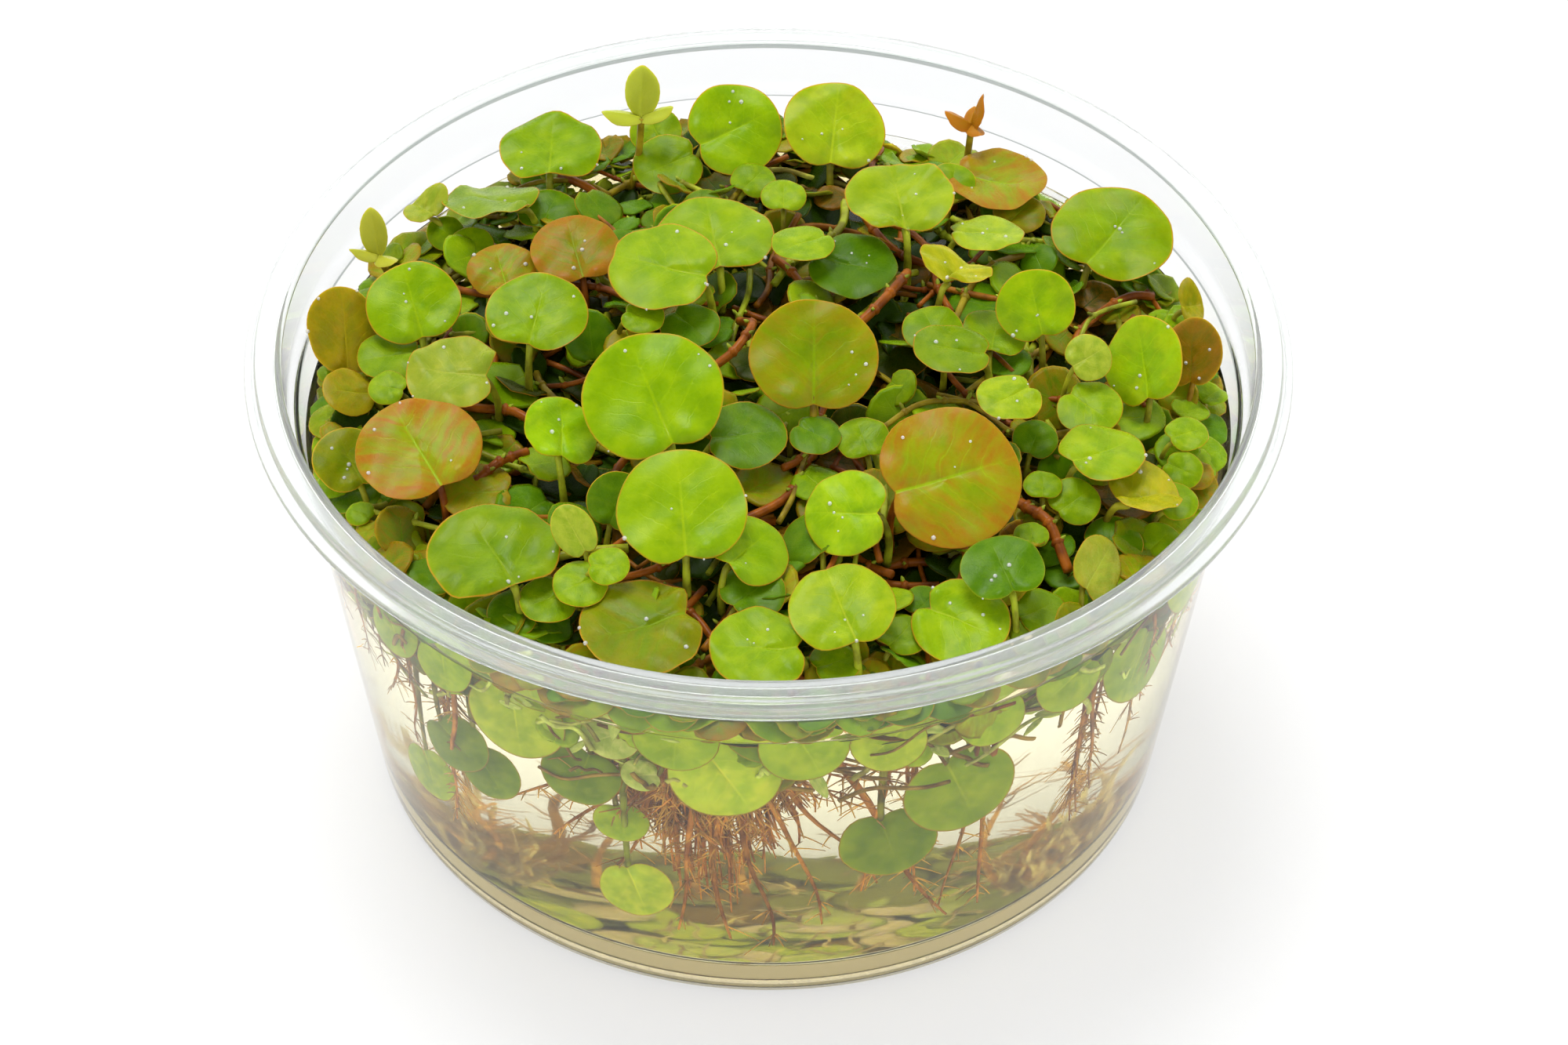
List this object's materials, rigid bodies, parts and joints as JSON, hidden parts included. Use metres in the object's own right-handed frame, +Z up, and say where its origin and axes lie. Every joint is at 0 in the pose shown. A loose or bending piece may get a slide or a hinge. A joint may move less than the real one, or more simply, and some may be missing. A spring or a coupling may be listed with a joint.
{
  "type": "floating aquarium plant colony in a cup",
  "caption": "Low round clear cup of water filled by a colony of floating plants: round notched leaves, some red, reddish stems and brown roots hanging in the water.",
  "frame": {"origin": "centre of the cup's underside, on the surface that the cup stands on", "axes": "+Z up along the cup's axis, -Y towards the viewer of the picture, +X to the viewer's right"},
  "size_m": [0.117, 0.117, 0.0648],
  "materials": {
    "cup": "clear, slightly milky moulded plastic",
    "water": "clear still water, very slightly yellow-green",
    "leaf_green": "waxy green leaf, soft sheen",
    "leaf_lime": "waxy young yellow-green leaf, soft sheen",
    "leaf_bronze": "waxy green leaf flushed with bronze",
    "leaf_orange": "waxy orange-green leaf",
    "leaf_red": "waxy red-brown leaf",
    "stem": "smooth reddish stem",
    "root": "fine soft brown roots"
  },
  "bodies": {
    "root": {"cup": "cup", "water": "water", "leaf_tangle": "leaf_green", "leaf_01": "leaf_green", "leaf_02": "leaf_green", "leaf_03": "leaf_lime", "leaf_04": "leaf_red", "leaf_05": "leaf_green", "leaf_06": "leaf_green", "leaf_07": "leaf_lime", "leaf_08": "leaf_lime", "leaf_09": "leaf_red", "leaf_10": "leaf_red", "leaf_11": "leaf_green", "leaf_12": "leaf_lime", "leaf_13": "leaf_green", "leaf_14": "leaf_orange", "leaf_15": "leaf_green", "leaf_16": "leaf_red", "leaf_17": "leaf_lime", "leaf_18": "leaf_green", "leaf_19": "leaf_red", "leaf_20": "leaf_green", "leaf_21": "leaf_lime", "leaf_22": "leaf_lime", "leaf_23": "leaf_bronze", "leaf_24": "leaf_lime", "leaf_25": "leaf_green", "leaf_26": "leaf_green", "leaf_27": "leaf_green", "leaf_28": "leaf_orange", "leaf_29": "leaf_green", "leaf_30": "leaf_orange", "leaf_31": "leaf_bronze", "leaf_32": "leaf_green", "leaf_33": "leaf_green", "leaf_34": "leaf_green", "leaf_35": "leaf_green", "leaf_36": "leaf_green", "leaf_37": "leaf_lime", "leaf_38": "leaf_green", "leaf_39": "leaf_green", "leaf_40": "leaf_green", "sunk_leaf_1": "leaf_green", "sunk_leaf_2": "leaf_green", "sunk_leaf_3": "leaf_green", "sunk_leaf_4": "leaf_green", "roots_front": "root", "roots_left": "root", "roots_right": "root", "roots_right_front": "root", "roots_back_left": "root", "roots_back_right": "root", "stem_back": "stem", "stem_middle": "stem", "stem_left": "stem", "stem_right": "stem", "shoot_red": "leaf_red", "shoot_back": "leaf_lime", "shoot_left": "leaf_orange"}
  },
  "joints": []
}
